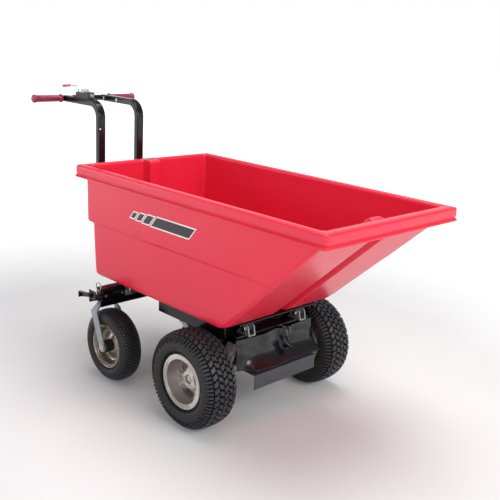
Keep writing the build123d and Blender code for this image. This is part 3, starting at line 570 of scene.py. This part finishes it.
# ---------------------------------------------------------------- drive rims
def cut(thing, cutters):
    """Takes the cutters out of a piece and removes them."""
    for cutter in cutters:
        modifier = thing.modifiers.new("cut", "BOOLEAN")
        modifier.operation = "DIFFERENCE"
        modifier.solver = "EXACT"
        modifier.object = cutter
    bpy.context.view_layer.update()
    made = bpy.data.meshes.new_from_object(thing.evaluated_get(bpy.context.evaluated_depsgraph_get()))
    thing.modifiers.clear()
    old = thing.data
    thing.data = made
    bpy.data.meshes.remove(old)
    for cutter in cutters:
        bpy.data.objects.remove(cutter)
    smooth(thing.data, 30)


def prism_along_y(outline, y0, y1):
    """A closed prism from an (x, z) outline in millimetres, as a bare object to cut with."""
    n = len(outline)
    points = [(x * MM, y * MM, z * MM) for y in (y0, y1) for x, z in outline]
    faces = [list(range(n)), list(range(2 * n - 1, n - 1, -1))]
    faces += [(k, k + n, (k + 1) % n + n, (k + 1) % n) for k in range(n)]
    mesh = bpy.data.meshes.new("cutter")
    mesh.from_pydata(points, [], faces)
    thing = bpy.data.objects.new("cutter", mesh)
    bpy.context.scene.collection.objects.link(thing)
    recalc(thing)
    return thing


def drive_rim(side, s):
    """Cast outer half: flat face ring, deep dish, three wide windows, three bolt cups and a keyed hub."""
    node = f"{side}_drive_rim_outer"
    low, high = box(node)
    rim_r = (high.z - low.z) / 2
    centre = Vector(((low.x + high.x) / 2, low.y if s > 0 else high.y, (low.z + high.z) / 2))
    depth = high.y - low.y
    dish = rim_r - 17
    profile = [(depth - 0.6, rim_r), (depth, rim_r - 1.4), (depth, rim_r - 9), (depth - 0.7, rim_r - 9.6),
               (depth - 0.7, dish + 1), (depth - 1.8, dish), (depth - 12, dish - 1.6), (26, dish - 3),
               (23, dish - 4.5),
               (21, dish - 5), (14, dish - 8), (13, 57), (15.5, 42), (19, 34), (19.4, 30), (19.4, 15.6),
               (8, 15.6), (8, 12.6),
               (0.5, 12.6), (0.5, 79), (46, 79), (46.4, rim_r)]
    points, faces = lathe([(w * s, r) for w, r in profile], centre, 144)
    rim = piece(f"{side}_wheel_disc_outer", points, faces, CAST_ALLOY, f"{side}_drive_wheel",
                [node])
    recalc(rim)
    cutters = []

    def round_hole(radius_out, turn, r):
        return [(centre.x + radius_out * math.cos(turn) + r * math.cos(t),
                 centre.z + radius_out * math.sin(turn) + r * math.sin(t))
                for t in np.linspace(0, 2 * math.pi, 28, endpoint=False)]

    for k in range(3):
        spoke = math.radians(120 * k + 77.5)
        window = []
        for t in np.linspace(0, 2 * math.pi, 44, endpoint=False):
            across = math.copysign(abs(math.sin(t)) ** 0.7, math.sin(t))
            along = math.copysign(abs(math.cos(t)) ** 0.7, math.cos(t))
            r = 47.5 + 19.5 * across
            turn = spoke + math.radians(60) + along * math.radians(38 + 3 * across)
            window.append((centre.x + r * math.cos(turn), centre.z + r * math.sin(turn)))
        cutters += [prism_along_y(window, centre.y - s * 5, centre.y + s * 40),
                    prism_along_y(round_hole(49, spoke, 9.5), centre.y + s * 5, centre.y + s * 40),
                    prism_along_y(round_hole(24.5, spoke, 2.0), centre.y + s * 14, centre.y + s * 40)]
    key = [(centre.x + x, centre.z + z) for x, z in ((14, 0), (20, 0), (20, 5), (14, 5))]
    cutters.append(prism_along_y(key, centre.y + s * 9, centre.y + s * 40))
    cut(rim, cutters)
    bevel(rim, 1.0, 2, 32)
    return rim


def caster_rim(side, s):
    """Pressed bowl: rolled lip, round-bottomed dish and a raised collar round the hub."""
    node = f"{side}_caster_rim"
    low, high = box(node)
    centre = (low + high) / 2
    rim_r = (high.z - low.z) / 2
    half = (high.y - low.y) / 2
    front = rounded_curve([(half - 3, rim_r - 0.4), (half, rim_r - 2.6), (half - 1, rim_r - 6),
                           (half - 4, rim_r - 8.5),
                           (half - 8, rim_r - 15), (18, rim_r - 18), (9, rim_r - 21), (4, 57), (3.4, 49),
                           (6, 41),
                           (10, 34), (13, 29), (14.2, 25.5), (14.2, 22.6)], 5)
    rear = [(8, 22.6), (8, 29), (-1, 49), (-2, 60), (-5, rim_r - 19), (-half + 7, rim_r - 18),
            (-half + 1, rim_r - 5),
            (-half, rim_r - 2), (-half + 3, rim_r), (-half + 4, 70.5), (half - 4, 70.5)]
    points, faces = lathe([(w * s, r) for w, r in front + rear], centre, 96)
    rim = piece(f"{side}_pressed_caster_rim", points, faces, CASTER_STEEL, f"{side}_caster_wheel",
                [node], sharp=40)
    recalc(rim)
    return rim


# ---------------------------------------------------------------- vinyl cover
def fold(u, z, a, b, width, height):
    """Height of one soft fold at (u, z): a ridge along the line from a to b."""
    ax, az = a
    dx, dz = b[0] - ax, b[1] - az
    t = min(max(((u - ax) * dx + (z - az) * dz) / (dx * dx + dz * dz), 0), 1)
    d = math.hypot(u - ax - t * dx, z - az - t * dz)
    return height * math.exp(-(d / width) ** 2)


def vinyl_cover():
    low, high = box("motor_cover")
    columns, rows = 110, 46
    folds = [((10, 330), (38, 238), 9, 22), ((78, 326), (42, 238), 11, 21), ((44, 330), (40, 262), 14, -9),
             ((-70, 320), (-30, 224), 34, 10), ((-180, 262), (-80, 216), 30, 8),
             ((96, 262), (178, 238), 30, 8)]
    points, faces = [], []
    for j in range(rows + 1):
        t = j / rows
        for k in range(columns + 1):
            y = low.y + (high.y - low.y) * k / columns
            droop = 2.5 * math.sin(y / 31) + 2 * math.sin(y / 17 + 1)
            bottom = low.z + 1 + droop * 0.4
            top = high.z - 2 - 4 * abs(math.sin(y / 55))
            z = top + (bottom - top) * t ** 0.92
            x = high.x - 13 + 13 * t ** 1.2 + 40 * max(0, 2.4 * t - 1.4) ** 1.6 * step_between(y, -175, -125)
            swell = sum(fold(y, z, *one) for one in folds)
            edge = min(1, 6 * (1 - abs(2 * k / columns - 1)) + 0.35)
            points.append((x + swell * edge * min(1, 0.4 + 3 * t), y, z))
    for j in range(rows):
        for k in range(columns):
            a = j * (columns + 1) + k
            faces.append((a, a + 1, a + columns + 2, a + columns + 1))
    cover = piece("loose_vinyl_cover", points, faces, COVER_BLACK, "chassis",
                  ["motor_cover"], sharp=180)
    thick = cover.modifiers.new("sheet_thickness", "SOLIDIFY")
    thick.thickness = 1.6 * MM
    thick.offset = 0
    return cover


# ---------------------------------------------------------------- grips and small parts
def grip(side, s):
    low, high = box(f"{side}_grip")
    centre = Vector(((low.x + high.x) / 2, low.y if s > 0 else high.y, (low.z + high.z) / 2))
    length = high.y - low.y
    r = (high.z - low.z) / 2
    profile = [(0.6, 11.2), (0, 13.5), (0, r - 1.2), (1.2, r), (6, r), (7.4, r - 1.2), (9, r - 3.2),
               (12, r - 3.6),
               (40, r - 3.2), (length - 40, r - 3.0), (length - 16, r - 2.4), (length - 12, r - 1.2),
               (length - 7, r - 0.2),
               (length - 3, r - 0.9), (length - 0.6, r - 3.4), (length, r - 7), (length, 0.01),
               (length - 5, 0.01),
               (length - 5, 11.2)]
    points, faces = lathe([(w * s, q) for w, q in profile], centre, 40)
    thing = piece(f"{side}_sleeve_grip", points, faces, GRIP_RED, "chassis", [f"{side}_grip"],
                  sharp=28)
    recalc(thing)
    return thing


def dome_screw(name, place, direction, radius, height, body="chassis"):
    """A round-headed screw standing out of a face."""
    axis = Vector(direction).normalized()
    side = axis.orthogonal().normalized()
    up = axis.cross(side)
    profile = [(radius, 0), (radius, height * 0.35), (radius * 0.82, height * 0.8), (radius * 0.45, height)]
    points, faces = [], []
    steps = 24
    for q, h in profile:
        for k in range(steps):
            a = 2 * math.pi * k / steps
            points.append(tuple(Vector(place) + axis * h + (side * math.cos(a) + up * math.sin(a)) * q))
    for j in range(len(profile) - 1):
        for k in range(steps):
            n = (k + 1) % steps
            faces.append((j * steps + k, j * steps + n, (j + 1) * steps + n, (j + 1) * steps + k))
    top = (len(profile) - 1) * steps
    faces += [list(range(top, top + steps)), list(range(steps - 1, -1, -1))]
    return piece(name, points, faces, BOLT_STEEL, body)


def handle_screws():
    low, high = box("left_handle_tube")
    for k, ahead in enumerate((22, 118)):
        dome_screw(f"bar_screw_{k + 1}", (low.x + ahead, low.y, high.z - 12), (0, -1, 0), 7.5, 4.5)
    low, high = box("right_handle_tube")
    upright_x = frame_upright_x()
    dome_screw("upright_screw", (upright_x, (low.y + high.y) / 2 - 10, high.z - 108), (1, 0, 0), 4.0, 2.0)


def frame_upright_x():
    """Front face of the handle upright, by looking back at it from ahead, three quarters of the way up."""
    low, high = box("right_handle_tube")
    tube = NODES["right_handle_tube"]
    start = tube.matrix_world.inverted() @ Vector((0, (low.y + high.y) / 2 * MM, high.z * 0.75 * MM))
    hit, place, _, _ = tube.ray_cast(start, (-1, 0, 0))
    return (tube.matrix_world @ place).x / MM


def striker_plate():
    """Thin zinc strip that shows above the back rim, over the rib."""
    x0, x1 = HOPPER_LOW.x + 12, HOPPER_LOW.x + 30
    y = RIB_HALF
    z0, z1 = RIM_TOP - 1, RIM_TOP + 2
    points = [(x, yy, z) for z in (z0, z1) for x, yy in ((x0, -y), (x1, -y), (x1, y), (x0, y))]
    faces = [(0, 3, 2, 1), (4, 5, 6, 7), (0, 1, 5, 4), (1, 2, 6, 5), (2, 3, 7, 6), (3, 0, 4, 7)]
    plate = piece("rim_strip", points, faces, ZINC, "hopper")
    bevel(plate, 0.8, 2)


# ---------------------------------------------------------------- build
hopper()
marking()
striker_plate()
for side, s in SIDES:
    turf_tyre(side)
    ribbed_tyre(side)
    drive_rim(side, s)
    caster_rim(side, s)
    grip(side, s)
    for part, width in (("caster_fork", 1.2), ("caster_hub", 1.6), ("caster_axle", 0.8),
                        ("caster_kingpin", 0.8), ("drive_rim_inner", 1.0), ("rim_bolts", 0.6),
                        ("axle_shaft", 0.8),
                        ("tilt_rail", 1.0), ("chassis_rail", 1.5)):
        softened(f"{side}_{part}", width)
for part, width in (("chassis_crossmembers", 1.5), ("rear_crossbeam", 1.2), ("hinge_brackets", 1.0),
                    ("hinge_pins", 0.8),
                    ("tilt_plate", 1.0), ("axle_braces", 1.0), ("battery_tray", 0.8), ("batteries", 2.5),
                    ("motor_controller", 1.0), ("skid_plate", 0.8), ("latch_housing", 1.6),
                    ("latch_bolts", 0.8),
                    ("pedal_bracket", 1.0), ("dump_pedal", 0.8), ("latch_striker", 0.8), ("control_box", 1.4),
                    ("key_switch", 0.5), ("handle_bolts", 0.6), ("hopper_bolts", 0.8),
                    ("throttle_housing", 1.0),
                    ("transaxle_housing", 2.0), ("drive_motor", 2.0)):
    softened(part, width)
vinyl_cover()
handle_screws()


# ---------------------------------------------------------------- stage, light and camera
def floor():
    points = [(-40, -40, 0), (40, -40, 0), (40, 40, 0), (-40, 40, 0)]
    mesh = bpy.data.meshes.new("floor")
    mesh.from_pydata(points, [], [(0, 1, 2, 3)])
    thing = bpy.data.objects.new("floor", mesh)
    bpy.context.scene.collection.objects.link(thing)
    material = bpy.data.materials.new("pale_paper_sweep")
    material.use_nodes = True
    tree = material.node_tree
    shader = tree.nodes["Principled BSDF"]
    place = add(tree, "ShaderNodeTexCoord").outputs["Object"]
    away = add(tree, "ShaderNodeVectorMath", {"operation": "LENGTH"}, _0=place).outputs["Value"]
    glow = add(tree, "ShaderNodeMapRange", Value=away, From_Min=1.2, From_Max=3.5, To_Min=0.04, To_Max=1.0)
    tree.links.new(glow.outputs[0], shader.inputs["Emission Strength"])
    fibre = add(tree, "ShaderNodeTexNoise", Vector=place, Scale=3.0, Detail=4.0)
    tone = add(tree, "ShaderNodeMix", {"data_type": "RGBA"}, _0=fibre.outputs["Fac"], _6=linear("d8d8d8"),
               _7=linear("dedede"))
    tree.links.new(tone.outputs[2], shader.inputs["Base Color"])
    shader.inputs["Roughness"].default_value = 0.9
    shader.inputs["Emission Color"].default_value = (1, 1, 1, 1)
    mesh.materials.append(material)


def softbox(name, place, target, size, power, colour="ffffff"):
    light = bpy.data.lights.new(name, "AREA")
    light.shape = "RECTANGLE"
    light.size, light.size_y = size
    light.energy = power
    light.color = linear(colour)[:3]
    thing = bpy.data.objects.new(name, light)
    bpy.context.scene.collection.objects.link(thing)
    thing.location = place
    thing.rotation_euler = (Vector(target) - Vector(place)).to_track_quat("-Z", "Y").to_euler()


def studio():
    """White all round at the horizon, grey overhead, with soft boxes above, ahead and behind on the left."""
    world = bpy.data.worlds.new("white_studio")
    bpy.context.scene.world = world
    world.use_nodes = True
    tree = world.node_tree
    height = add(tree, "ShaderNodeSeparateXYZ",
                 Vector=add(tree, "ShaderNodeTexCoord").outputs["Generated"]).outputs[2]
    fade = add(tree, "ShaderNodeMapRange", Value=height, From_Min=0.1, From_Max=0.45, To_Min=1.0, To_Max=0.3)
    sky = tree.nodes["Background"]
    sky.inputs["Color"].default_value = (1, 1, 1, 1)
    tree.links.new(fade.outputs[0], sky.inputs["Strength"])
    softbox("overhead_softbox", (0.2, 0.3, 3.4), (0.1, 0, 0.4), (2.6, 1.8), 90)
    softbox("front_right_softbox", (1.6, -3.4, 1.9), (0.1, 0, 0.5), (1.8, 1.4), 30)
    softbox("front_strip", (3.6, 0.4, 2.3), (-0.3, 0, 0.6), (1.6, 1.4), 60)
    softbox("left_back_sheen", (-3.4, -2.6, 1.4), (-0.2, -0.3, 0.5), (1.2, 1.6), 22, "e6e4ff")
    bpy.context.scene.view_settings.view_transform = "Standard"


def camera():
    """A 55 mm view from ahead and to the right, a little above the rim, leaning three degrees."""
    yaw, pitch, roll = math.radians(44.88), math.radians(15.70), math.radians(3.11)
    back = Vector((math.sin(yaw) * math.cos(pitch), -math.cos(yaw) * math.cos(pitch), math.sin(pitch)))
    right = Vector((math.cos(yaw), math.sin(yaw), 0))
    up = back.cross(right)
    right_leaned = right * math.cos(roll) + up * math.sin(roll)
    up_leaned = -right * math.sin(roll) + up * math.cos(roll)
    axle = (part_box("right_axle_shaft")[0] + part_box("right_axle_shaft")[1]) / 2
    lens = bpy.data.cameras.new("camera")
    lens.lens = 55.44
    lens.sensor_width = 36
    thing = bpy.data.objects.new("camera", lens)
    bpy.context.scene.collection.objects.link(thing)
    turn = Matrix((right_leaned, up_leaned, back)).transposed().to_4x4()
    thing.matrix_world = Matrix.Translation((axle.x + 1.750, -1.809, 1.261)) @ turn
    bpy.context.scene.camera = thing


floor()
studio()
camera()
